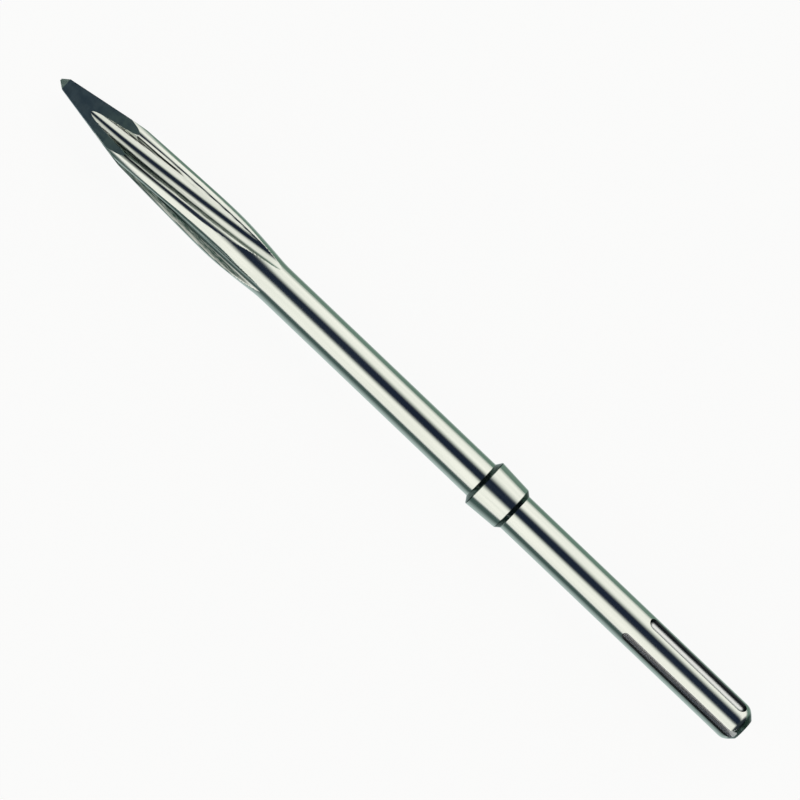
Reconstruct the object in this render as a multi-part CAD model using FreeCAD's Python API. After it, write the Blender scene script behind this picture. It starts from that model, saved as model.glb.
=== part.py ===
import FreeCAD, Part
import math
import os

# Pointed chisel for a rotary hammer: one forged and turned steel bar, in millimetres.
# The axis is +X from the struck end to the tip, and the origin is the centre of the struck end.
# Angles about the axis are in degrees, right-handed about +X, and 0 is +Y, so +Z is 90.

# Bar
LENGTH = 400.0
BAR_RADIUS = 9.0

# Struck end: a flat face, a 45 degree chamfer and a radius that runs into the bar
STRUCK_FACE_RADIUS = 5.3
STRUCK_CHAMFER = 2.0

# Two closed grooves, where the chuck's locking rollers sit
LOCKING_GROOVE_START = 5.1
LOCKING_GROOVE_LENGTH = 55.7
LOCKING_CUTTER_RADIUS = 3.3
LOCKING_GROOVE_DEPTH = 2.4
LOCKING_GROOVE_ANGLE = 122.4

# Three open slots, where the chuck's drive keys slide
DRIVE_SLOT_LENGTH = 65.5
DRIVE_SLOT_WIDTH = 4.2
DRIVE_SLOT_DEPTH = 2.6
DRIVE_SLOT_CORNER = 0.5
PAIRED_SLOT_SPREAD = 32.0

# Collar, which stops the dust cup and keeps the chisel at its depth in the chuck
COLLAR_START = 133.8
COLLAR_LENGTH = 19.8
COLLAR_REAR_RADIUS = 10.7
COLLAR_FRONT_RADIUS = 11.7
COLLAR_REAR_CHAMFER = 2.1
COLLAR_FRONT_CHAMFER = 1.8
COLLAR_EDGE_RADIUS = 0.6

# Head: the bar swells in a cone, crowns over and runs almost level to the point
HEAD_LENGTH = 123.4
SHOULDER_ANGLE = 5.9
TAPER_ANGLE = 0.06
CROWN_RADIUS = 190.0
SHOULDER_BLEND_RADIUS = 60.0
FACE_LINE = 34.6
RIB_RADIUS_AT_FACE = 11.3

# Four twisted flutes, which leave four ribs between them
FLUTE_COUNT = 4
MOUTH_LINE = 20.0
FLUTE_ANGLE_AT_MOUTH = 66.9
TWIST_PER_MM = 0.48
ROOT_RADIUS_AT_MOUTH = 5.55
ROOT_LINE_POWER = 1.8
FLUTE_RADIUS_AT_MOUTH = 2.5
FLUTE_RADIUS = 5.0
FLUTE_OPENING_SHARE = 0.4
RIB_ROUNDING = 4.0
RIB_ROUNDING_POWER = 4.0
RIB_EDGE_ROUNDING = 1.5
RIB_LAND_RAISE = 0.08
RUN_OUT_RAISE = 1.6
RUN_OUT_RAISE_POWER = 8.0
SECTION_SPACING = 8.0

# Point: four flat ground faces, then a blunt four-sided tip
POINT_ANGLE = 75.9
FACE_ANGLE = 9.6
TIP_LENGTH = 3.2
TIP_SHOULDER_HALF_WIDTH = 2.75
TIP_END_HALF_WIDTH = 0.5

head_start = LENGTH - HEAD_LENGTH
mouth_x = LENGTH - MOUTH_LINE
head_cut_x = head_start - SECTION_SPACING / 2
X_AXIS = FreeCAD.Vector(1, 0, 0)
ORIGIN = FreeCAD.Vector(0, 0, 0)


def profile_point(x, radius):
    return FreeCAD.Vector(x, radius, 0)


def turned(shape, angle):
    copy = shape.copy()
    copy.rotate(ORIGIN, X_AXIS, angle)
    return copy


def line(a, b):
    return Part.LineSegment(a, b).toShape()


def rounded_path(corners):
    """A path of straight runs through (point, radius) corners, each joined by a tangent arc."""
    edges = []
    last = corners[0][0]
    for i in range(1, len(corners) - 1):
        corner, radius = corners[i]
        back = (corners[i - 1][0] - corner).normalize()
        ahead = (corners[i + 1][0] - corner).normalize()
        if radius > 0:
            half = back.getAngle(ahead) / 2
            reach = radius / math.tan(half)
            start = corner + back * reach
            end = corner + ahead * reach
            centre = corner + (back + ahead).normalize() * (radius / math.sin(half))
            middle = centre + (corner - centre).normalize() * radius
            edges.append(line(last, start))
            edges.append(Part.Arc(start, middle, end).toShape())
            last = end
        else:
            edges.append(line(last, corner))
            last = corner
    edges.append(line(last, corners[-1][0]))
    return edges


def taper_radius(x):
    """Radius of the straight taper that the ribs' crests follow, also where it is extended back."""
    return RIB_RADIUS_AT_FACE + (LENGTH - FACE_LINE - x) * math.tan(math.radians(TAPER_ANGLE))


def shoulder_radius(x):
    return BAR_RADIUS + (x - head_start) * math.tan(math.radians(SHOULDER_ANGLE))


def crown_x():
    """Where the shoulder's cone and the taper would meet if nothing rounded them."""
    rise = math.tan(math.radians(SHOULDER_ANGLE)) + math.tan(math.radians(TAPER_ANGLE))
    return head_start + (taper_radius(head_start) - BAR_RADIUS) / rise


def blank():
    """The bar as turned, before its slots, flutes and point are cut."""
    chamfer_radius = STRUCK_FACE_RADIUS + STRUCK_CHAMFER
    left = BAR_RADIUS - chamfer_radius
    edge_radius = left / (1 - math.cos(math.radians(45)))
    collar_end = COLLAR_START + COLLAR_LENGTH
    corners = [
        (profile_point(0, 0), 0),
        (profile_point(0, STRUCK_FACE_RADIUS), 0),
        (profile_point(STRUCK_CHAMFER + left, BAR_RADIUS), edge_radius),
        (profile_point(COLLAR_START, BAR_RADIUS), 0),
        (profile_point(COLLAR_START + COLLAR_REAR_CHAMFER, COLLAR_REAR_RADIUS), COLLAR_EDGE_RADIUS),
        (profile_point(collar_end - COLLAR_FRONT_CHAMFER, COLLAR_FRONT_RADIUS), COLLAR_EDGE_RADIUS),
        (profile_point(collar_end, BAR_RADIUS), 0),
        (profile_point(head_start, BAR_RADIUS), SHOULDER_BLEND_RADIUS),
        (profile_point(crown_x(), shoulder_radius(crown_x())), CROWN_RADIUS),
        (profile_point(LENGTH, taper_radius(LENGTH)), 0),
        (profile_point(LENGTH, 0), 0),
        (profile_point(0, 0), 0),
    ]
    face = Part.Face(Part.Wire(rounded_path(corners)))
    return face.revolve(ORIGIN, X_AXIS, 360)


def blank_radius(x):
    """Radius of the head's turned outline at x, for the sections of the flutes."""
    rise = math.tan(math.radians(SHOULDER_ANGLE))
    fall = math.tan(math.radians(TAPER_ANGLE))
    reach = CROWN_RADIUS * math.tan(math.radians(SHOULDER_ANGLE + TAPER_ANGLE) / 2)
    start = crown_x() - reach * math.cos(math.radians(SHOULDER_ANGLE))
    end = crown_x() + reach * math.cos(math.radians(TAPER_ANGLE))
    if x < start:
        return max(BAR_RADIUS, shoulder_radius(x))
    if x > end:
        return taper_radius(x)
    share = (x - start) / (end - start)
    slope = rise - (rise + fall) * share / 2
    return shoulder_radius(start) + slope * (x - start)


def flute_share(x):
    """0 where a flute opens in the ground faces, 1 where it runs out on the bar."""
    return (mouth_x - x) / (mouth_x - head_start)


def flute_angle(x):
    return FLUTE_ANGLE_AT_MOUTH + (mouth_x - x) * TWIST_PER_MM


def point_on(centre, radius, direction):
    return (centre[0] + radius * math.cos(direction), centre[1] + radius * math.sin(direction))


def section_sizes(x):
    """The flute's root, its radius, the crest and its rounding in the section at x."""
    share = max(flute_share(x), 0.0)
    opening = math.sin(math.pi / 2 * min(share / FLUTE_OPENING_SHARE, 1.0))
    root = ROOT_RADIUS_AT_MOUTH + (BAR_RADIUS - ROOT_RADIUS_AT_MOUTH) * share ** ROOT_LINE_POWER
    flute = FLUTE_RADIUS_AT_MOUTH + (FLUTE_RADIUS - FLUTE_RADIUS_AT_MOUTH) * opening
    rounding = RIB_ROUNDING + (BAR_RADIUS - RIB_ROUNDING) * share ** RIB_ROUNDING_POWER
    crest = blank_radius(x) + RIB_LAND_RAISE + RUN_OUT_RAISE * share ** RUN_OUT_RAISE_POWER
    return root, flute, crest, rounding


def section_wire(x):
    """One closed section of the fluted head: four root arcs and four crests with rounded edges."""
    root, flute, crest, rounding = section_sizes(x)
    half_pitch = math.pi / FLUTE_COUNT
    flute_centre = (root + flute, 0.0)
    rib_centre = point_on((0.0, 0.0), crest - rounding, half_pitch)
    to_edge = flute + RIB_EDGE_ROUNDING
    from_rib = rounding - RIB_EDGE_ROUNDING
    span_x = rib_centre[0] - flute_centre[0]
    span_y = rib_centre[1] - flute_centre[1]
    span = math.hypot(span_x, span_y)
    along = (to_edge ** 2 - from_rib ** 2 + span ** 2) / (2 * span)
    off = math.sqrt(to_edge ** 2 - along ** 2)
    edge_centre = (
        flute_centre[0] + (along * span_x + off * span_y) / span,
        flute_centre[1] + (along * span_y - off * span_x) / span,
    )
    wall = math.atan2(edge_centre[1] - flute_centre[1], edge_centre[0] - flute_centre[0])
    shoulder = math.atan2(edge_centre[1] - rib_centre[1], edge_centre[0] - rib_centre[0])
    facing = (wall - math.pi + shoulder) / 2
    root_side = point_on(flute_centre, flute, wall)
    edge_middle = point_on(edge_centre, RIB_EDGE_ROUNDING, facing)
    edge_end = point_on(rib_centre, rounding, shoulder)
    crest_middle = point_on((0.0, 0.0), crest, half_pitch)

    def placed(point, angle, mirrored=False):
        side = -point[1] if mirrored else point[1]
        radius = math.hypot(point[0], side)
        direction = math.radians(angle) + math.atan2(side, point[0])
        return FreeCAD.Vector(x, radius * math.cos(direction), radius * math.sin(direction))

    edges = []
    for i in range(FLUTE_COUNT):
        here = flute_angle(x) + i * 360.0 / FLUTE_COUNT
        after = here + 360.0 / FLUTE_COUNT
        arcs = [
            (placed(root_side, here, True), placed((root, 0.0), here), placed(root_side, here)),
            (placed(root_side, here), placed(edge_middle, here), placed(edge_end, here)),
            (placed(edge_end, here), placed(crest_middle, here), placed(edge_end, after, True)),
            (placed(edge_end, after, True), placed(edge_middle, after, True), placed(root_side, after, True)),
        ]
        for start, middle, end in arcs:
            edges.append(Part.Arc(start, middle, end).toShape())
    return Part.Wire(edges)


def fluted_envelope():
    """Everything that the flutes leave of the head: a twisted star, lofted through its sections."""
    start = head_start - SECTION_SPACING
    end = LENGTH + SECTION_SPACING
    count = math.ceil((end - start) / SECTION_SPACING)
    stations = [start + (end - start) * i / count for i in range(count + 1)]
    return Part.makeLoft([section_wire(x) for x in stations], True, False)


def square_wire(x, half_width):
    corners = [(half_width, half_width), (-half_width, half_width)]
    corners += [(-half_width, -half_width), (half_width, -half_width)]
    points = [FreeCAD.Vector(x, y, z) for y, z in corners]
    return Part.makePolygon(points + points[:1])


def point_envelope():
    """The four ground faces and the blunt tip, as one square spike that the head is cut to."""
    tip_x = LENGTH - TIP_LENGTH
    back_x = head_start - SECTION_SPACING
    back_half_width = TIP_SHOULDER_HALF_WIDTH + (tip_x - back_x) * math.tan(math.radians(FACE_ANGLE))
    wires = [
        square_wire(back_x, back_half_width),
        square_wire(tip_x, TIP_SHOULDER_HALF_WIDTH),
        square_wire(LENGTH, TIP_END_HALF_WIDTH),
    ]
    return turned(Part.makeLoft(wires, True, True), POINT_ANGLE)


def stretch(bar, start, end):
    """The length of the bar between two planes square to its axis."""
    size = 4 * BAR_RADIUS
    corner = FreeCAD.Vector(start, -size / 2, -size / 2)
    return bar.common(Part.makeBox(end - start, size, size, corner))


def head(bar):
    """The swelled end of the bar, cut to the twisted star and to the point."""
    swelled = stretch(bar, head_cut_x, LENGTH)
    return swelled.common(fluted_envelope()).common(point_envelope())


def locking_groove():
    """A round-nosed cutter that sinks into the bar, runs along it and lifts out again."""
    height = BAR_RADIUS - LOCKING_GROOVE_DEPTH + LOCKING_CUTTER_RADIUS
    lift = height - BAR_RADIUS
    overhang = math.sqrt(LOCKING_CUTTER_RADIUS ** 2 - lift ** 2)
    first = FreeCAD.Vector(LOCKING_GROOVE_START + overhang, height, 0)
    run = LOCKING_GROOVE_LENGTH - 2 * overhang
    last = first + FreeCAD.Vector(run, 0, 0)
    body = Part.makeCylinder(LOCKING_CUTTER_RADIUS, run, first, X_AXIS)
    ends = [Part.makeSphere(LOCKING_CUTTER_RADIUS, centre) for centre in (first, last)]
    return body.fuse(ends).removeSplitter()


def drive_slot():
    """A slot milled in from the struck end, with a round inner end and bevelled bottom corners."""
    half = DRIVE_SLOT_WIDTH / 2
    floor = BAR_RADIUS - DRIVE_SLOT_DEPTH
    height = 2 * DRIVE_SLOT_DEPTH
    run = DRIVE_SLOT_LENGTH - half
    open_end = -DRIVE_SLOT_WIDTH
    outline = [
        line(FreeCAD.Vector(open_end, floor, -half), FreeCAD.Vector(run, floor, -half)),
        Part.Arc(
            FreeCAD.Vector(run, floor, -half),
            FreeCAD.Vector(run + half, floor, 0),
            FreeCAD.Vector(run, floor, half),
        ).toShape(),
        line(FreeCAD.Vector(run, floor, half), FreeCAD.Vector(open_end, floor, half)),
        line(FreeCAD.Vector(open_end, floor, half), FreeCAD.Vector(open_end, floor, -half)),
    ]
    cutter = Part.Face(Part.Wire(outline)).extrude(FreeCAD.Vector(0, height, 0))
    bottom = [
        edge for edge in cutter.Edges
        if edge.BoundBox.YMax < floor + height / 2 and edge.BoundBox.XMax > 0
    ]
    return cutter.makeChamfer(DRIVE_SLOT_CORNER, bottom)


def shank_cutters():
    """Both locking grooves, the single drive slot between them and the pair on the other side."""
    cutters = [turned(locking_groove(), LOCKING_GROOVE_ANGLE + side) for side in (0, 180)]
    single = LOCKING_GROOVE_ANGLE - 90
    opposite = single + 180
    for angle in (single, opposite - PAIRED_SLOT_SPREAD, opposite + PAIRED_SLOT_SPREAD):
        cutters.append(turned(drive_slot(), angle))
    return cutters


def pointed_chisel():
    bar = blank()
    shank = stretch(bar, 0, head_cut_x).cut(shank_cutters())
    return shank.fuse(head(bar)).removeSplitter()


os.makedirs("parts", exist_ok=True)
chisel = pointed_chisel()
print("solids", len(chisel.Solids), "valid", chisel.isValid(), "volume", round(chisel.Volume))
chisel.exportStep("parts/pointed_chisel.step")
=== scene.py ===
import bpy
import math
from mathutils import Matrix, Vector


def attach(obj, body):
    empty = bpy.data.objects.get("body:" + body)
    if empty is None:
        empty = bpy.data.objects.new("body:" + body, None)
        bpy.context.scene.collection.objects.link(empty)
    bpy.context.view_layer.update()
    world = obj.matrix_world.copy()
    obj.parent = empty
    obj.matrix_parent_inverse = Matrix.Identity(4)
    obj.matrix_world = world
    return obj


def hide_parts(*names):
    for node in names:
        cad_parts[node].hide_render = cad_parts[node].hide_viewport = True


# %% [markdown]
# A pointed chisel for a rotary hammer is one steel bar. Its shank is slotted for the chuck, a collar
# stops it, and its head is forged into four twisted ribs and ground to a point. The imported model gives
# the solid at its true size. This file makes the same form as one dense, smooth skin, because polished
# steel shows every facet, and gives it its finishes, a studio and a camera.

# %% Load the solid and keep its box
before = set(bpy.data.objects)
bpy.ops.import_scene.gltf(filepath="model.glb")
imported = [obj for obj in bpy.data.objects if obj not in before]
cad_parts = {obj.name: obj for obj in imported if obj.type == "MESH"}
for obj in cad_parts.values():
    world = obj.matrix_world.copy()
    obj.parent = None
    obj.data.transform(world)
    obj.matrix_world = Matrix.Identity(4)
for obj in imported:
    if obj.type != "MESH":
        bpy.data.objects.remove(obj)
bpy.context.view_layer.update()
CHISEL = "pointed_chisel"

# %% [markdown]
# Geometry Nodes and shaders are both written here as plain sums. A Number wraps one socket that carries a
# number, and Python's operators on it add Math nodes. Every other node comes from one method, add, which
# takes the node's type, its settings and its inputs. So a rule of the shape reads like the rule itself.

# %% Numbers that write node trees


class Number:
    """One socket that carries a number. Sums on it add Math nodes to its tree."""

    def __init__(self, tree, socket):
        self.tree = tree
        self.socket = socket

    def math(self, operation, *others):
        return self.tree.math(operation, self, *others)

    def __add__(self, other):
        return self.math("ADD", other)

    def __radd__(self, other):
        return self.tree.math("ADD", other, self)

    def __sub__(self, other):
        return self.math("SUBTRACT", other)

    def __rsub__(self, other):
        return self.tree.math("SUBTRACT", other, self)

    def __mul__(self, other):
        return self.math("MULTIPLY", other)

    def __rmul__(self, other):
        return self.tree.math("MULTIPLY", other, self)

    def __truediv__(self, other):
        return self.math("DIVIDE", other)

    def __rtruediv__(self, other):
        return self.tree.math("DIVIDE", other, self)

    def __pow__(self, other):
        return self.math("POWER", other)

    def above(self, other):
        return self.math("GREATER_THAN", other)


class Tree:
    """A node tree that is written in short lines."""

    def __init__(self, nodes, links):
        self.nodes = nodes
        self.links = links

    def add(self, kind, settings=None, inputs=None):
        """A node of that type, with its settings made first and then its inputs filled or linked."""
        node = self.nodes.new(kind)
        for name, value in (settings or {}).items():
            setattr(node, name, value)
        for key, value in (inputs or {}).items():
            source = value.socket if isinstance(value, Number) else value
            if isinstance(source, bpy.types.NodeSocket):
                self.links.new(source, node.inputs[key])
            else:
                node.inputs[key].default_value = source
        return node

    def math(self, operation, *values):
        node = self.add("ShaderNodeMath", {"operation": operation}, dict(enumerate(values)))
        return Number(self, node.outputs[0])

    def number(self, socket):
        return Number(self, socket)

    def out(self, kind, settings=None, inputs=None):
        """The first output of a new node: its shape, colour, vector or shader."""
        return self.add(kind, settings, inputs).outputs[0]

    def vector(self, x, y, z):
        return self.out("ShaderNodeCombineXYZ", None, {0: x, 1: y, 2: z})

    def parts(self, vector):
        """The three numbers in a vector."""
        return [self.number(s) for s in self.add("ShaderNodeSeparateXYZ", None, {0: vector}).outputs]

    def boolean(self, operation, tools, shape=None):
        """Cuts the tools out of a shape, or joins or intersects the tools themselves."""
        node = self.add("GeometryNodeMeshBoolean", {"operation": operation, "solver": "EXACT"})
        if shape is not None:
            self.links.new(shape, node.inputs["Mesh 1"])
        for tool in tools:
            self.links.new(tool, node.inputs["Mesh 2"])
        return node.outputs["Mesh"]

    def blend(self, share, start, end):
        """A colour between two others."""
        return self.add("ShaderNodeMix", {"data_type": "RGBA"}, {0: share, 6: start, 7: end}).outputs[2]

    def least(self, a, b):
        return self.math("MINIMUM", a, b)

    def most(self, a, b):
        return self.math("MAXIMUM", a, b)

    def soft_least(self, a, b, reach):
        return self.math("SMOOTH_MIN", a, b, reach)

    def soft_most(self, a, b, reach):
        return self.math("SMOOTH_MAX", a, b, reach)

    def ramp(self, value, start, end):
        """0 before start, 1 after end and an even S between them."""
        settings = {"interpolation_type": "SMOOTHSTEP"}
        node = self.add("ShaderNodeMapRange", settings, {0: value, 1: start, 2: end, 3: 0.0, 4: 1.0})
        return Number(self, node.outputs[0])

    def stretch(self, value, rise_start, rise_end, fall_start, fall_end):
        """0 before the rise, 1 between rise and fall, and 0 again after the fall."""
        return self.ramp(value, rise_start, rise_end) * (1.0 - self.ramp(value, fall_start, fall_end))

    def band(self, value, start, end, soft):
        """1 between start and end and 0 outside, with edges that are soft for that far on both sides."""
        return self.stretch(value, start - soft, start + soft, end - soft, end + soft)


def between(start, end, share):
    """What lies that share of the way from start to end."""
    return start + (end - start) * share


print("a Number wraps one socket, and a Tree adds nodes")

# %% [markdown]
# These are the sizes that someone would take off the real chisel with a caliper, in millimetres, with the
# places along it measured from the struck end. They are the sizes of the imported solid, and angles about
# the axis count from +Y toward +Z. Each becomes a named input of the chisel's tree, so a size can be
# changed there and the whole form follows.

# %% Sizes of the chisel in millimetres
SIZES = {
    "Length": 400.0,
    "Bar Radius": 9.0,
    "Struck Face Radius": 5.3,
    "Struck Rounding": 3.1,
    "Collar Start": 133.8,
    "Collar Length": 19.8,
    "Collar Rear Radius": 10.7,
    "Collar Front Radius": 11.7,
    "Collar Rear Chamfer": 2.1,
    "Collar Front Chamfer": 1.8,
    "Collar Rounding": 0.35,
    "Head Length": 123.4,
    "Shoulder Slope": math.tan(math.radians(5.9)),
    "Taper Slope": math.tan(math.radians(0.06)),
    "Crown Rounding": 2.2,
    "Shoulder Rounding": 0.48,
    "Face Line": 34.6,
    "Rib Radius At Face": 11.3,
    "Mouth Line": 20.0,
    "Flute Angle At Mouth": math.radians(66.9),
    "Twist": math.radians(0.48),
    "Root Radius At Mouth": 5.55,
    "Root Line Power": 1.8,
    "Flute Radius At Mouth": 2.5,
    "Flute Radius": 5.0,
    "Flute Opening Share": 0.4,
    "Rib Rounding": 4.0,
    "Rib Rounding Power": 4.0,
    "Rib Edge Rounding": 1.5,
    "Rib Land Raise": 0.08,
    "Run Out Raise": 1.6,
    "Run Out Raise Power": 8.0,
    "Point Angle": math.radians(75.9),
    "Face Slope": math.tan(math.radians(9.6)),
    "Tip Length": 3.2,
    "Tip Shoulder Half Width": 2.75,
    "Tip End Half Width": 0.5,
    "Locking Groove Start": 5.1,
    "Locking Groove Length": 55.7,
    "Locking Cutter Radius": 3.3,
    "Locking Groove Depth": 2.4,
    "Locking Groove Angle": math.radians(122.4),
    "Drive Slot Length": 65.5,
    "Drive Slot Width": 4.2,
    "Drive Slot Depth": 2.6,
    "Drive Slot Corner": 0.5,
    "Paired Slot Spread": math.radians(32.0),
}
FLUTES = 4
HALF_PITCH = math.pi / FLUTES
MM = 0.001


def mouth_line(size):
    """Where the flutes are deepest, just behind the tip."""
    return size["Length"] - size["Mouth Line"]


def head_start(size):
    """Where the head begins to swell and the flutes have run out."""
    return size["Length"] - size["Head Length"]


print(len(SIZES), "sizes:", SIZES["Length"], "mm long and", 2 * SIZES["Bar Radius"], "mm thick")

# %% [markdown]
# A Geometry Nodes tree is a recipe: it takes a simple mesh and its sizes and gives back a finished form.
# The recipe hangs on an object as a modifier, whose inputs are set by their identifiers. When it has run,
# its result is taken out as a plain mesh and the recipe goes, so the piece that is kept is only its
# faces.

# %% Tools for objects and Geometry Nodes


def new_object(name, mesh):
    piece = bpy.data.objects.new(name, mesh)
    bpy.context.scene.collection.objects.link(piece)
    return piece


def node_group(name, sizes):
    """An empty Geometry Nodes tree with one named input for each size."""
    group = bpy.data.node_groups.new(name, "GeometryNodeTree")
    group.interface.new_socket("Geometry", in_out="INPUT", socket_type="NodeSocketGeometry")
    group.interface.new_socket("Geometry", in_out="OUTPUT", socket_type="NodeSocketGeometry")
    for label, value in sizes.items():
        kind = "NodeSocketInt" if isinstance(value, int) else "NodeSocketFloat"
        socket = group.interface.new_socket(label, in_out="INPUT", socket_type=kind)
        socket.default_value = value
    return group, Tree(group.nodes, group.links)


def with_nodes(piece, group, sizes):
    """Adds the tree to a piece and sets each input by its socket's identifier."""
    modifier = piece.modifiers.new(group.name, "NODES")
    modifier.node_group = group
    for item in group.interface.items_tree:
        if item.item_type == "SOCKET" and item.in_out == "INPUT" and item.name in sizes:
            modifier[item.identifier] = sizes[item.name]
    return piece


def settled(piece, name):
    """The evaluated mesh of a piece as a new plain object. The old one goes."""
    evaluated = piece.evaluated_get(bpy.context.evaluated_depsgraph_get())
    mesh = bpy.data.meshes.new_from_object(evaluated)
    mesh.name = name
    bpy.data.objects.remove(piece)
    return new_object(name, mesh)


print("an object can take a tree and settle into a plain mesh")

# %% [markdown]
# Steel is a metal, so its colour is the colour of what it mirrors, dulled a little, and what tells one
# finish from another is its grain. A grain is noise that is pulled long in one direction: along the bar
# where it was drawn and polished, across a face where it was ground. The same noise shades the steel,
# roughens it and raises it by about a thousandth of a millimetre.

# %% Tools for finishes


def material(name):
    made = bpy.data.materials.new(name)
    made.use_nodes = True
    made.node_tree.nodes.clear()
    return made, Tree(made.node_tree.nodes, made.node_tree.links)


def spot_on_piece(tree):
    """Where a point lies on its own piece, in metres from the struck end's centre."""
    return tree.add("ShaderNodeTexCoord").outputs["Object"]


def grain(tree, along, across):
    """Noise from 0 to 1 whose grains are that long along the bar and that wide across it."""
    scale = (1 / along, 1 / across, 1 / across)
    drawn = tree.out("ShaderNodeVectorMath", {"operation": "MULTIPLY"}, {0: spot_on_piece(tree), 1: scale})
    noise = tree.out("ShaderNodeTexNoise", None, {"Vector": drawn, "Scale": 1.0, "Detail": 3.0})
    return tree.ramp(noise, 0.25, 0.75)


def metal(tree, colour, roughness, height, relief):
    """A steel surface with that colour and roughness, and a height map whose steps are relief high."""
    bump = tree.out("ShaderNodeBump", None, {"Strength": 1.0, "Distance": relief, "Height": height})
    surface = tree.out(
        "ShaderNodeBsdfPrincipled",
        None,
        {"Base Color": colour, "Metallic": 1.0, "Roughness": roughness, "Normal": bump},
    )
    tree.add("ShaderNodeOutputMaterial", None, {"Surface": surface})


print("a finish is a colour, a roughness and a grain")

# %% [markdown]
# The bar was drawn and polished along its length, which leaves faint streaks that bend the light across
# it. Dark scale from the forge and from hardening is left where no belt reached, on the chamfers of the
# collar and of the struck end. In each flute the same dark colour is painted shade and painted reflection:
# a dark band along one wall, shade that deepens inwards and a dark band near the rib edges by the point.
# The chisel's tree writes how dark each point is, and the finish only reads that.

# %% Polished steel


def polished_steel():
    made, tree = material("polished_steel")
    dull = (0.74, 0.77, 0.72, 1)
    bright = (0.84, 0.86, 0.81, 1)
    scale_and_shade_colour = (0.03, 0.06, 0.05, 1)
    fine = grain(tree, 25 * MM, 0.3 * MM)
    broad = grain(tree, 70 * MM, 2.0 * MM)
    # The attribute named scale holds the scale on the chamfers and the painted shade and reflections in the
    # flutes.
    scale = tree.number(tree.add("ShaderNodeAttribute", {"attribute_name": "scale"}).outputs["Fac"])
    patchy = tree.least(scale * (0.75 + fine * 0.5), 1.0)
    colour = tree.blend(patchy, tree.blend(broad, dull, bright), scale_and_shade_colour)
    metal(tree, colour, 0.10 + broad * 0.05, fine, 0.0012 * MM)
    return made


FINISHES = {"polished": polished_steel()}
print("finishes:", ", ".join(FINISHES))

# %% [markdown]
# The grinder leaves the four faces of the point dark, with fine lines across them, and a little lighter
# and greener at their back ends. The tip is dressed bright. The mills leave the floors of the shank's
# grooves a bit duller than the bar, and their walls black, because no light gets back out from there.

# %% Ground, bright and milled steel


def ground_steel():
    made, tree = material("ground_steel")
    dark = (0.10, 0.16, 0.21, 1)
    blue = (0.16, 0.23, 0.27, 1)
    green = (0.20, 0.30, 0.28, 1)
    green_from = 384 * MM
    green_at = 366 * MM
    lines = grain(tree, 0.25 * MM, 6 * MM)
    cloud = grain(tree, 4 * MM, 3 * MM)
    x = tree.parts(spot_on_piece(tree))[0]
    back = 1.0 - tree.ramp(x, green_at, green_from)
    colour = tree.blend(cloud, dark, blue)
    colour = tree.blend(back * (0.4 + cloud * 0.6), colour, green)
    metal(tree, colour, 0.34 + lines * 0.12, lines, 0.003 * MM)
    return made


def bright_tip():
    made, tree = material("bright_tip")
    green = (0.45, 0.62, 0.52, 1)
    pale = (0.80, 0.92, 0.84, 1)
    cloud = grain(tree, 0.5 * MM, 0.7 * MM)
    colour = tree.blend(cloud, green, pale)
    metal(tree, colour, 0.35 + cloud * 0.1, cloud, 0.004 * MM)
    return made


def milled_steel():
    made, tree = material("milled_steel")
    grey = (0.70, 0.71, 0.73, 1)
    pale = (0.88, 0.88, 0.88, 1)
    black = (0.01, 0.02, 0.025, 1)
    wall_depth = 1.2 * MM
    floor_depth = 2.0 * MM
    lines = grain(tree, 40 * MM, 0.25 * MM)
    _, y, z = tree.parts(spot_on_piece(tree))
    depth = SIZES["Bar Radius"] * MM - tree.math("SQRT", y * y + z * z)
    wall = 1.0 - tree.ramp(depth, wall_depth, floor_depth)
    colour = tree.blend(wall * 0.95, tree.blend(lines, grey, pale), black)
    metal(tree, colour, 0.30 + lines * 0.08, lines, 0.002 * MM)
    return made


FINISHES["ground"] = ground_steel()
FINISHES["tip"] = bright_tip()
FINISHES["milled"] = milled_steel()
print("finishes:", ", ".join(FINISHES))

# %% [markdown]
# The skin starts as a flat sheet: X is the place along the bar and Y the angle round it. The rows lie
# close where the shape turns, at the struck end, the collar and the head, and far apart on the plain bar.
# A tree then rolls the sheet up, and the rule of the section says how far each point lies from the axis.

# %% The flat sheet
COLUMNS = 256


def rows():
    """Places of the sheet's rows, from the struck end to a little past the tip, in spans of one step each."""
    collar_end = SIZES["Collar Start"] + SIZES["Collar Length"]
    head = head_start(SIZES)
    spans = [
        (0.0, 6.4, 0.4),
        (6.4, SIZES["Collar Start"] - 0.4, 2.5),
        (SIZES["Collar Start"] - 0.4, SIZES["Collar Start"] + 2.6, 0.15),
        (SIZES["Collar Start"] + 2.6, collar_end - 2.4, 2.0),
        (collar_end - 2.4, collar_end + 0.4, 0.15),
        (collar_end + 0.4, head - 8.0, 4.0),
        (head - 8.0, SIZES["Length"] + 1.0, 0.6),
    ]
    places = [0.0]
    for start, end, step in spans:
        count = math.ceil((end - start) / step)
        places += [start + (end - start) * i / count for i in range(1, count + 1)]
    return places


def flat_sheet(places):
    verts = [(x, math.tau * j / COLUMNS, 0.0) for x in places for j in range(COLUMNS)]
    faces = []
    for i in range(len(places) - 1):
        for j in range(COLUMNS):
            after = (j + 1) % COLUMNS
            a = i * COLUMNS
            b = a + COLUMNS
            faces.append((a + j, a + after, b + after, b + j))
    faces.append(tuple(reversed(range(COLUMNS))))
    faces.append(tuple(range((len(places) - 1) * COLUMNS, len(places) * COLUMNS)))
    mesh = bpy.data.meshes.new("sheet")
    mesh.from_pydata(verts, [], faces)
    return new_object("sheet", mesh)


sheet = flat_sheet(rows())
print("sheet of", len(sheet.data.vertices), "points")

# %% [markdown]
# On a lathe the chisel's blank is one outline turned round its axis: struck end, bar, collar and a head
# that swells in a cone and then runs almost level. Each part is a straight line here, and a soft minimum
# or maximum joins two lines with a rounding, as the turner's radius does.

# %% The turned blank


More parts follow.
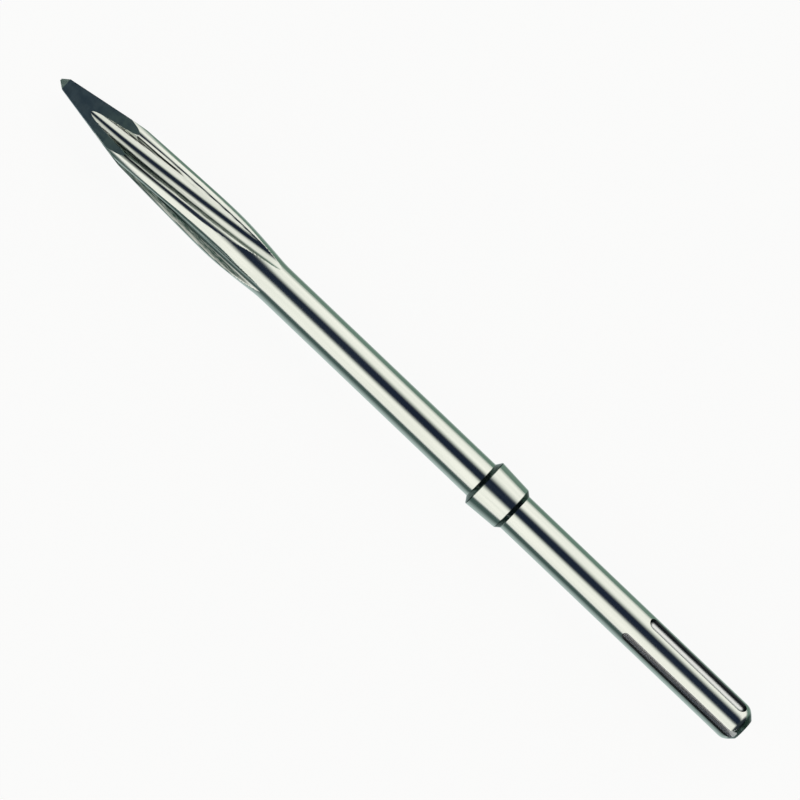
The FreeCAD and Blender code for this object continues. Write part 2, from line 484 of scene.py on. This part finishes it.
def outline(tree, size, x):
    """Radius of the turned blank at x: struck end, bar, collar and the swelled head."""
    bar = tree.soft_least(x + size["Struck Face Radius"], size["Bar Radius"], size["Struck Rounding"])
    rear = size["Collar Start"] + size["Collar Rear Chamfer"]
    front = size["Collar Start"] + size["Collar Length"] - size["Collar Front Chamfer"]
    rear_rise = (size["Collar Rear Radius"] - size["Bar Radius"]) / size["Collar Rear Chamfer"]
    front_fall = (size["Collar Front Radius"] - size["Bar Radius"]) / size["Collar Front Chamfer"]
    slope = (size["Collar Front Radius"] - size["Collar Rear Radius"]) / (front - rear)
    barrel = size["Collar Rear Radius"] + (x - rear) * slope
    rear_chamfer = size["Bar Radius"] + (x - size["Collar Start"]) * rear_rise
    front_chamfer = size["Collar Front Radius"] - (x - front) * front_fall
    ring = tree.soft_least(barrel, rear_chamfer, size["Collar Rounding"])
    ring = tree.soft_least(ring, front_chamfer, size["Collar Rounding"])
    shoulder = size["Bar Radius"] + (x - head_start(size)) * size["Shoulder Slope"]
    taper = size["Rib Radius At Face"] + (size["Length"] - size["Face Line"] - x) * size["Taper Slope"]
    head = tree.soft_least(shoulder, taper, size["Crown Rounding"])
    return tree.soft_most(tree.most(bar, ring), head, size["Shoulder Rounding"])


print("the collar is", SIZES["Collar Length"], "mm long, and the head starts at", head_start(SIZES), "mm")

# %% [markdown]
# The head's section is a star with four ribs. Each flute is a round-bottomed gutter, each rib has a
# rounded crest, and a small arc joins the two. The flutes are deep at the point, turn as they go back and
# run out on the bar. Half a flute and half a rib give the whole section: a flute's middle lies on the X
# axis here, and three circles touch each other in turn, so each angle about the bar's axis meets one of
# the three.

# %% The star of the head


def far_side(tree, across, along, radius):
    """How far a ray runs until it leaves a circle whose centre lies along it and across from it."""
    return along + tree.math("SQRT", radius * radius - across * across)


def star(tree, size, x, angle, blank):
    """Radius of the fluted head at x, at an angle measured from a flute's middle."""
    mouth = mouth_line(size)
    share = tree.most((mouth - x) / (mouth - head_start(size)), 0.0)
    opening = tree.math("SINE", tree.least(share / size["Flute Opening Share"], 1.0) * (math.pi / 2))
    root = between(size["Root Radius At Mouth"], size["Bar Radius"], share ** size["Root Line Power"])
    flute = between(size["Flute Radius At Mouth"], size["Flute Radius"], opening)
    rounding = between(size["Rib Rounding"], size["Bar Radius"], share ** size["Rib Rounding Power"])
    crest = blank + size["Rib Land Raise"] + size["Run Out Raise"] * share ** size["Run Out Raise Power"]
    edge = size["Rib Edge Rounding"]

    # The edge's circle touches the flute's and the rib's, so the three centres make a triangle
    flute_x = root + flute
    rib_x = (crest - rounding) * math.cos(HALF_PITCH)
    rib_y = (crest - rounding) * math.sin(HALF_PITCH)
    to_edge = flute + edge
    from_rib = rounding - edge
    span_x = rib_x - flute_x
    span = tree.math("SQRT", span_x * span_x + rib_y * rib_y)
    along = (to_edge * to_edge - from_rib * from_rib + span * span) / (span * 2.0)
    off = tree.math("SQRT", to_edge * to_edge - along * along)
    edge_x = flute_x + (along * span_x + off * rib_y) / span
    edge_y = (along * rib_y - off * span_x) / span

    # Where the edge's arc meets the flute's wall, and where it meets the rib's land
    share_of_wall = flute / to_edge
    wall_x = between(flute_x, edge_x, share_of_wall)
    wall_y = edge_y * share_of_wall
    grow = rounding / from_rib
    land_x = between(rib_x, edge_x, grow)
    land_y = between(rib_y, edge_y, grow)
    wall_angle = tree.math("ARCTAN2", wall_y, wall_x)
    land_angle = tree.math("ARCTAN2", land_y, land_x)

    # A ray from the axis at this angle ends on one of the three arcs
    side = tree.math("ABSOLUTE", angle)
    cosine = tree.math("COSINE", side)
    sine = tree.math("SINE", side)
    across = flute_x * sine
    in_flute = flute_x * cosine - tree.math("SQRT", flute * flute - across * across)
    on_edge = far_side(tree, edge_x * sine - edge_y * cosine, edge_x * cosine + edge_y * sine, edge)
    on_rib = far_side(tree, rib_x * sine - rib_y * cosine, rib_x * cosine + rib_y * sine, rounding)
    past_wall = side.above(wall_angle)
    past_edge = side.above(land_angle)
    section = between(in_flute, on_edge, past_wall)
    return between(section, on_rib, past_edge)


print(FLUTES, "flutes that turn", round(math.degrees(SIZES["Twist"]), 2), "degrees a millimetre")

# %% [markdown]
# Four flat faces are ground on the head to make its point, and four steeper ones blunt the tip. Each set
# is one long square pyramid, and the point is what lies inside both. A cone node with four sides is such
# a pyramid, so the point is two of them and one boolean.

# %% The point
# A square's corner lies root 2 times its half width from its middle. The pyramids reach past both ends.
MARGIN = 2.0
ROOT2 = math.sqrt(2)


def pyramid(tree, size, end, half_width, slope, finish):
    """A square pyramid that is cut off at end with that half width and widens back past the struck end."""
    start = -MARGIN
    back_half_width = half_width + (end - start) * slope
    corners = {"Radius Bottom": back_half_width * ROOT2, "Radius Top": half_width * ROOT2}
    sizes = {"Vertices": 4, "Depth": end - start} | corners
    cone = tree.out("GeometryNodeMeshCone", {"fill_type": "NGON"}, sizes)
    lying = tree.out("GeometryNodeTransform", None, {0: cone, 1: (start, 0, 0), 2: (0, math.pi / 2, 0)})
    turn = tree.vector(size["Point Angle"] + math.pi / 4, 0.0, 0.0)
    turned = tree.out("GeometryNodeTransform", None, {0: lying, 2: turn})
    return tree.out("GeometryNodeSetMaterial", None, {0: turned, "Material": finish})


def ground_to_a_point(tree, size, shape, face_finish, tip_finish):
    tip_start = size["Length"] - size["Tip Length"]
    tip_slope = (size["Tip Shoulder Half Width"] - size["Tip End Half Width"]) / size["Tip Length"]
    past_tip = size["Length"] + MARGIN
    half_width = size["Tip Shoulder Half Width"] - (past_tip - tip_start) * size["Face Slope"]
    faces = pyramid(tree, size, past_tip, half_width, size["Face Slope"], face_finish)
    tip = pyramid(tree, size, size["Length"], size["Tip End Half Width"], tip_slope, tip_finish)
    return tree.boolean("INTERSECT", [shape, faces, tip])


print("the tip is", SIZES["Tip Length"], "mm long and", 2 * SIZES["Tip End Half Width"], "mm wide at its end")

# %% [markdown]
# The chuck holds the shank in two ways. Two steel rollers sit in the closed grooves and let the chisel
# slide a little without falling out, and three keys in the open slots turn it. A round-nosed cutter sinks
# in to mill a groove, so its cutter is a sphere pulled apart. An end mill runs in from the end to mill a
# slot, so its cutter is a cylinder pulled apart.

# %% The grooves and slots of the shank
# The end mill starts that far outside the struck end, so that it leaves no skin there.
MILL_SIDES = 96
BALL_SEGMENTS = 96
BALL_RINGS = 49
OVERRUN = 4.2


def pulled_apart(tree, shape, run):
    """Moves the half of a shape past x = 0 along by run, and the faces between stretch."""
    place = tree.parts(tree.out("GeometryNodeInputPosition"))
    offset = tree.vector(run * place[0].above(0.0), 0.0, 0.0)
    return tree.out("GeometryNodeSetPosition", None, {"Geometry": shape, "Offset": offset})


def round_nosed_cutter(tree, size):
    radius = size["Locking Cutter Radius"]
    height = size["Bar Radius"] - size["Locking Groove Depth"] + radius
    lift = height - size["Bar Radius"]
    overhang = tree.math("SQRT", radius * radius - lift * lift)
    ball_sizes = {"Segments": BALL_SEGMENTS, "Rings": BALL_RINGS, "Radius": radius}
    ball = tree.out("GeometryNodeMeshUVSphere", None, ball_sizes)
    lying = tree.out("GeometryNodeTransform", None, {0: ball, 2: (0, math.pi / 2, 0)})
    long_ball = pulled_apart(tree, lying, size["Locking Groove Length"] - overhang * 2.0)
    place = tree.vector(size["Locking Groove Start"] + overhang, 0.0, height)
    return tree.out("GeometryNodeTransform", None, {0: long_ball, 1: place})


def end_mill(tree, size):
    """A cylinder with a bevelled lower end that stands on the slot's floor."""
    half = size["Drive Slot Width"] / 2.0
    corner = size["Drive Slot Corner"]
    depth = size["Drive Slot Depth"] * 2.0
    rod = tree.add(
        "GeometryNodeMeshCylinder",
        {"fill_type": "NGON"},
        {"Vertices": MILL_SIDES, "Radius": half, "Depth": depth - corner},
    )
    nose = tree.add(
        "GeometryNodeExtrudeMesh",
        {"mode": "FACES"},
        {"Mesh": rod.outputs["Mesh"], "Selection": rod.outputs["Bottom"], "Offset Scale": corner},
    )
    bevelled = tree.out(
        "GeometryNodeScaleElements",
        {"domain": "FACE"},
        {0: nose.outputs["Mesh"], "Selection": nose.outputs["Top"], "Scale": (half - corner) / half},
    )
    twist = (0, 0, math.pi / MILL_SIDES)
    centred = tree.out("GeometryNodeTransform", None, {0: bevelled, 2: twist})
    long_mill = pulled_apart(tree, centred, size["Drive Slot Length"] - half + OVERRUN)
    middle = size["Bar Radius"] - size["Drive Slot Depth"] + (depth + corner) / 2.0
    return tree.out("GeometryNodeTransform", None, {0: long_mill, 1: tree.vector(-OVERRUN, 0.0, middle)})


def slotted(tree, size, shape, finish):
    groove_angle = size["Locking Groove Angle"]
    single = groove_angle - math.pi / 2
    opposite = groove_angle + math.pi / 2
    nose = round_nosed_cutter(tree, size)
    mill = end_mill(tree, size)
    places = [(nose, groove_angle), (nose, groove_angle + math.pi), (mill, single)]
    places += [(mill, opposite - size["Paired Slot Spread"]), (mill, opposite + size["Paired Slot Spread"])]
    cutters = []
    for cutter, angle in places:
        turn = tree.vector(angle - math.pi / 2, 0.0, 0.0)
        cutters.append(tree.out("GeometryNodeTransform", None, {0: cutter, 2: turn}))
    joined = tree.boolean("UNION", cutters)
    milled = tree.out("GeometryNodeSetMaterial", None, {0: joined, "Material": finish})
    return tree.boolean("DIFFERENCE", [milled], shape)


print("grooves", SIZES["Locking Groove Length"], "mm and slots", SIZES["Drive Slot Length"], "mm long")

# %% [markdown]
# Rolling up the sheet is the whole of the forging: the angle round the bar turns with the twist, and the
# radius is the blank's or the star's, whichever is less, so the flutes run out where the star grows past
# the blank. The tree then marks how dark each point is painted: scale on the chamfers, and painted shade
# and painted reflections in the flutes. It reads that from the finished shape, by how far a point lies
# under the blank and at which angle in its flute.

# %% Rolling up the sheet and marking the scale and the painted shade
# Angles are degrees from a flute's middle, and depths are millimetres under the blank. A band has its start,
# its end and how soft they are. The amounts are shares of the full dark colour, which is scale on the
# chamfers and painted shade in the flutes.
LINE_AT_MOUTH = -28.0
LINE_AT_RUN_OUT = -14.0
LINE_SOFT = (2.0, 6.5)
LINE_DEPTH = (0.05, 0.4)
LINE_AMOUNT = 0.62
SHADE_DEPTH = (0.1, 1.0)
SHADE_AMOUNT = 0.12
WALL_BAND = (-30.0, -8.0, 4.0)
WALL_AMOUNT = 0.22
EDGE_BAND = (-37.0, -30.0, 2.0)
EDGE_RUN_OUT = (0.25, 0.55)
EDGE_AMOUNT = 0.8
CHAMFER_SOFT = 0.15
CHAMFER_AMOUNT = 0.97
REAR_CHAMFER_SHIFT = 0.1
FRONT_CHAMFER_SHIFT = 0.35
STRUCK_END = (2.2, 3.4)


def rolled(tree, size, sheet):
    """The flat sheet rolled round the axis, with each point at the radius that the rule gives."""
    x, round_it, _ = tree.parts(tree.out("GeometryNodeInputPosition"))
    turned = size["Flute Angle At Mouth"] + (mouth_line(size) - x) * size["Twist"]
    from_flute = tree.math("WRAP", round_it, HALF_PITCH, -HALF_PITCH)
    blank = outline(tree, size, x)
    fluted = tree.least(blank, star(tree, size, x, from_flute, blank))
    radius = between(blank, fluted, x.above(head_start(size)))
    angle = round_it + turned
    spot = tree.vector(x, radius * tree.math("COSINE", angle), radius * tree.math("SINE", angle))
    return tree.out("GeometryNodeSetPosition", None, {"Geometry": sheet, "Position": spot})


def painted_shade_in_flutes(tree, size, x, y, z):
    """Painted shade in each flute: a dark band painted along one wall as a reflection, shade that deepens
    inwards and is heavier on that wall, and a dark band near the rib edges by the point.
    """
    mouth = mouth_line(size)
    share = (mouth - x) / (size["Head Length"] - size["Mouth Line"])
    turned = tree.math("ARCTAN2", z, y) - size["Flute Angle At Mouth"] - (mouth - x) * size["Twist"]
    angle = tree.math("WRAP", turned, HALF_PITCH, -HALF_PITCH) * math.degrees(1)
    depth = outline(tree, size, x) - tree.math("SQRT", y * y + z * z)
    # The line and the edge band are painted dark reflections, and the depth and wall marks are painted shade.
    line_angle = between(LINE_AT_MOUTH, LINE_AT_RUN_OUT, share)
    line = 1.0 - tree.ramp(tree.math("ABSOLUTE", angle - line_angle), *LINE_SOFT)
    wall = tree.band(angle, *WALL_BAND)
    edge = tree.band(angle, *EDGE_BAND) * (1.0 - tree.ramp(share, *EDGE_RUN_OUT))
    depth_shade = tree.ramp(depth, *SHADE_DEPTH) * (SHADE_AMOUNT + wall * WALL_AMOUNT)
    return depth_shade + line * tree.ramp(depth, *LINE_DEPTH) * LINE_AMOUNT + edge * EDGE_AMOUNT


def scale_on_chamfers(tree, size, x):
    """The collar's two chamfers and the struck end's one, which no belt touched."""
    collar_end = size["Collar Start"] + size["Collar Length"]
    rear_start = size["Collar Start"] + REAR_CHAMFER_SHIFT
    front_start = collar_end - size["Collar Front Chamfer"] - FRONT_CHAMFER_SHIFT
    rear = tree.band(x, rear_start, rear_start + size["Collar Rear Chamfer"], CHAMFER_SOFT)
    front = tree.band(x, front_start, collar_end, CHAMFER_SOFT)
    struck = 1.0 - tree.ramp(x, *STRUCK_END)
    return (rear + front + struck) * CHAMFER_AMOUNT


def scale_and_painted_shade(tree, size):
    """How dark each point is, from 0 to 1: scale on the chamfers, and painted shade and reflections in the
    flutes.
    """
    x, y, z = tree.parts(tree.out("GeometryNodeInputPosition"))
    return painted_shade_in_flutes(tree, size, x, y, z) + scale_on_chamfers(tree, size, x)


# The line printed here is a painted dark reflection along one wall of each flute, not scale.
print("a line of scale from", LINE_AT_MOUTH, "to", LINE_AT_RUN_OUT, "degrees off a flute's middle")

# %% [markdown]
# One tree makes the whole chisel, in the order of the workshop: it rolls up the sheet, grinds the point,
# mills the shank and marks the scale and the painted shade. An edge is sharp where two faces meet at more
# than 20 degrees, and everything else is smooth. The lengths are millimetres until the last transform makes
# them metres, and at the end every face beyond the tip's start gets the tip's finish.

# %% The tree of the chisel
SHARP_ANGLE = math.radians(20)


def chisel_tree(finishes):
    group, tree = node_group("chisel_form", SIZES)
    entry = tree.add("NodeGroupInput")
    size = {label: tree.number(entry.outputs[label]) for label in SIZES}
    shape = rolled(tree, size, entry.outputs[0])
    shape = tree.out("GeometryNodeSetMaterial", None, {0: shape, "Material": finishes["polished"]})
    shape = ground_to_a_point(tree, size, shape, finishes["ground"], finishes["tip"])
    shape = slotted(tree, size, shape, finishes["milled"])
    # The attribute named scale carries both the scale on the chamfers and the painted shade and reflections
    # in the flutes.
    named = {0: shape, "Name": "scale", "Value": scale_and_painted_shade(tree, size)}
    shape = tree.out("GeometryNodeStoreNamedAttribute", None, named)
    angle = tree.number(tree.out("GeometryNodeInputMeshEdgeAngle"))
    sharp = {0: shape, "Selection": angle.above(SHARP_ANGLE), "Shade Smooth": False}
    shape = tree.out("GeometryNodeSetShadeSmooth", {"domain": "EDGE"}, sharp)
    shape = tree.out("GeometryNodeTransform", None, {0: shape, "Scale": (MM, MM, MM)})
    shape = tree.out("GeometryNodeRealizeInstances", None, {0: shape})
    x = tree.parts(tree.out("GeometryNodeInputPosition"))[0]
    tip = x.above((size["Length"] - size["Tip Length"]) * MM)
    dressed = {0: shape, "Selection": tip, "Material": finishes["tip"]}
    shape = tree.out("GeometryNodeSetMaterial", None, dressed)
    tree.add("NodeGroupOutput", None, {0: shape})
    return group


form = chisel_tree(FINISHES)
print("the chisel's tree has", len(form.nodes), "nodes")

# %% [markdown]
# The tree now runs once on the sheet, and its result is the chisel's skin. The skin is the whole chisel,
# so it takes the place of the solid's one node and rides on the same body.

# %% Make the chisel
body = settled(with_nodes(sheet, form, SIZES), "chisel_skin")
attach(body, "root")
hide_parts(CHISEL)
print("skin of", len(body.data.polygons), "faces,", len(body.data.materials), "finishes")

# %% [markdown]
# The chisel rests on its collar and on two ribs of its head, so the floor tilts a little against the
# axis. A photographer lays such a tool on a white sheet that is lit until it is as bright as the paper of
# the catalogue. The sheet here is matt white with a glow, so it stays white to the camera and keeps the
# shadow.

# %% Floor
FLOOR_SLOPE = math.tan(math.radians(0.38))
FLOOR_DROP = 11.39
BALANCE_X = 194.2
FLOOR_REACH = 3000.0
GLOW_SEEN = 0.93
GLOW_MIRRORED = 0.8


def floor_height(x):
    return (x - BALANCE_X) * FLOOR_SLOPE - FLOOR_DROP


def level_sheet(name, near, far, lift):
    """A flat sheet that follows the floor, from y = near to y = far, in millimetres."""
    ends = (-FLOOR_REACH, FLOOR_REACH)
    corners = [(ends[0], near), (ends[1], near), (ends[1], far), (ends[0], far)]
    mesh = bpy.data.meshes.new(name)
    mesh.from_pydata([Vector((x, y, floor_height(x) + lift)) * MM for x, y in corners], [], [(0, 1, 2, 3)])
    sheet = new_object(name, mesh)
    return sheet


def floor():
    plane = level_sheet("floor", -FLOOR_REACH, FLOOR_REACH, 0.0)
    made, tree = material("floor_white")
    paths = tree.add("ShaderNodeLightPath")
    seen = tree.number(paths.outputs["Is Camera Ray"])
    mirrored = tree.number(paths.outputs["Is Glossy Ray"])
    matt = tree.out("ShaderNodeBsdfDiffuse", None, {"Color": (0.9, 0.9, 0.9, 1)})
    glow = tree.out("ShaderNodeEmission", None, {"Color": (1, 1, 0.995, 1), "Strength": 1.0})
    share = seen * GLOW_SEEN + mirrored * GLOW_MIRRORED
    mixed = tree.out("ShaderNodeMixShader", None, {0: share, 1: matt, 2: glow})
    tree.add("ShaderNodeOutputMaterial", None, {"Surface": mixed})
    plane.data.materials.append(made)


floor()
print("floor", FLOOR_DROP, "mm under the axis at x =", BALANCE_X, "mm")

# %% [markdown]
# Polished steel is dark wherever it mirrors something dark, so glowing sheets that only the metal sees
# lie beside it as painted reflections, to draw its edges on a white ground. The near sheet paints the dark
# line along the lower edge, the far sheet the green one along the upper edge, and the pale sheet under the
# chisel is painted shade that keeps the light from the floor off its belly. They lie just over the floor
# with soft edges.

# %% Painted reflections on the floor
REFLECTION_LIFT = 0.2
UNDER_LIFT = 0.1
DARK_TEAL = (0.06, 0.10, 0.095, 1)
DULL_GREEN = (0.16, 0.25, 0.205, 1)
PALE_TEAL = (0.52, 0.62, 0.61, 1)


def painted_reflection(name, near, far, lift, colour, soft):
    """A painted reflection from y = near to y = far, a glowing sheet seen only in the metal, that fades over
    the soft lengths.
    """
    sheet = level_sheet(name, near, far, lift)
    made, tree = material(name)
    y = tree.parts(spot_on_piece(tree))[1]
    side = math.copysign(1.0, far)
    solid = tree.stretch(y * side, *[length * MM for length in soft])
    clear = tree.out("ShaderNodeBsdfTransparent")
    glow = tree.out("ShaderNodeEmission", None, {"Color": colour, "Strength": 1.0})
    mixed = tree.out("ShaderNodeMixShader", None, {0: solid, 1: clear, 2: glow})
    tree.add("ShaderNodeOutputMaterial", None, {"Surface": mixed})
    sheet.data.materials.append(made)
    sheet.visible_camera = False
    sheet.visible_diffuse = False
    sheet.visible_shadow = False
    sheet.visible_transmission = False


# Each sheet is a painted reflection that glows only in the metal, and the one under the chisel is painted
# shade.
painted_reflection("near_painted_reflection", near=6.0, far=400.0, lift=REFLECTION_LIFT, colour=DARK_TEAL, soft=(6.0, 36.0, 60.0, 300.0))
painted_reflection("far_painted_reflection", near=-2000.0, far=-8.0, lift=REFLECTION_LIFT, colour=DULL_GREEN, soft=(8.0, 34.0, 1900.0, 2000.0))
painted_reflection("under_painted_shade", near=-30.0, far=40.0, lift=UNDER_LIFT, colour=PALE_TEAL, soft=(-30.0, -14.0, 26.0, 40.0))
print("three cards, lifted", REFLECTION_LIFT, "and", UNDER_LIFT, "mm off the floor")

# %% [markdown]
# Round bright steel shows its studio as bands along the bar. Two long soft boxes hang over it with a
# narrow dark gap between them, and the room behind them is a dull green-grey. Each band is set by the
# angle at which it stands from the camera, round the bar, because a reflection turns by twice the
# surface's angle.

# %% World
# Degrees round the bar from the camera where each light rises and falls, and how far along x the ends are.
VIEW_ANGLE = math.radians(72.9)
LOWER_BOX = (-92.0, -70.0, -24.0, 0.0)
UPPER_BOX = (26.0, 56.0, 84.0, 118.0)
GAP = LOWER_BOX[2:] + UPPER_BOX[:2]
ENDS = (0.6, 0.85)
ROOM_COLOUR = (0.18, 0.27, 0.225, 1)
GAP_COLOUR = (0.012, 0.02, 0.04, 1)
BOX_COLOUR = (1.06, 1.05, 0.99, 1)
END_COLOUR = (0.03, 0.04, 0.05, 1)


def studio():
    world = bpy.data.worlds.new("studio")
    world.use_nodes = True
    world.node_tree.nodes.clear()
    tree = Tree(world.node_tree.nodes, world.node_tree.links)
    x, y, z = tree.parts(tree.add("ShaderNodeTexCoord").outputs["Generated"])
    toward = y * math.cos(VIEW_ANGLE) + z * math.sin(VIEW_ANGLE)
    across = z * math.cos(VIEW_ANGLE) - y * math.sin(VIEW_ANGLE)
    from_camera = tree.math("ARCTAN2", across, toward) * math.degrees(1)
    boxes = tree.stretch(from_camera, *LOWER_BOX) + tree.stretch(from_camera, *UPPER_BOX)
    room = tree.blend(tree.stretch(from_camera, *GAP), ROOM_COLOUR, GAP_COLOUR)
    lit = tree.blend(boxes, room, BOX_COLOUR)
    ends = tree.ramp(tree.math("ABSOLUTE", x), *ENDS)
    all_round = tree.blend(ends, lit, END_COLOUR)
    seen = tree.add("ShaderNodeLightPath").outputs["Is Camera Ray"]
    colour = tree.blend(seen, all_round, (1, 1, 1, 1))
    sky = tree.out("ShaderNodeBackground", None, {"Color": colour, "Strength": 1.0})
    tree.add("ShaderNodeOutputWorld", None, {"Surface": sky})
    bpy.context.scene.world = world


studio()
print("two soft boxes with a gap from", GAP[0], "to", GAP[-1], "degrees, round the bar from the camera")

# %% [markdown]
# The camera looks square across the axis from high on the near side, with a long lens, so the bar is as
# thick at one end of the picture as at the other. It is turned until the bar drops to the right at the
# angle that the photograph shows, and its distance follows from the width of the view at the bar.

# %% Camera
BAR_DROP = math.atan2(0.69, 0.7238)
VIEW_WIDTH = 339.7
AIM_ALONG = 201.94
AIM_ACROSS = 0.81
LENS = 200.0
SENSOR_WIDTH = 36.0
NEAREST = 0.01
FARTHEST = 50.0


def camera():
    toward = Vector((0, math.cos(VIEW_ANGLE), math.sin(VIEW_ANGLE)))
    across = Vector((0, -math.sin(VIEW_ANGLE), math.cos(VIEW_ANGLE)))
    right = (Vector((-math.cos(BAR_DROP), 0, 0)) + across * math.sin(BAR_DROP)).normalized()
    up = toward.cross(right).normalized()
    aim = Vector((AIM_ALONG * MM, 0, 0)) + across * (AIM_ACROSS * MM)
    data = bpy.data.cameras.new("camera")
    data.sensor_width = SENSOR_WIDTH
    data.lens = LENS
    data.clip_start = NEAREST
    data.clip_end = FARTHEST
    distance = VIEW_WIDTH * MM * LENS / SENSOR_WIDTH
    eye = bpy.data.objects.new("camera", data)
    bpy.context.scene.collection.objects.link(eye)
    turn = Matrix((right, up, toward)).transposed().to_4x4()
    eye.matrix_world = Matrix.Translation(aim + toward * distance) @ turn
    bpy.context.scene.camera = eye
    return distance


distance = camera()
print("camera", round(distance, 3), "m from the bar, turned by", round(math.degrees(BAR_DROP), 1), "degrees")
bpy.context.scene.view_settings.view_transform = "Standard"
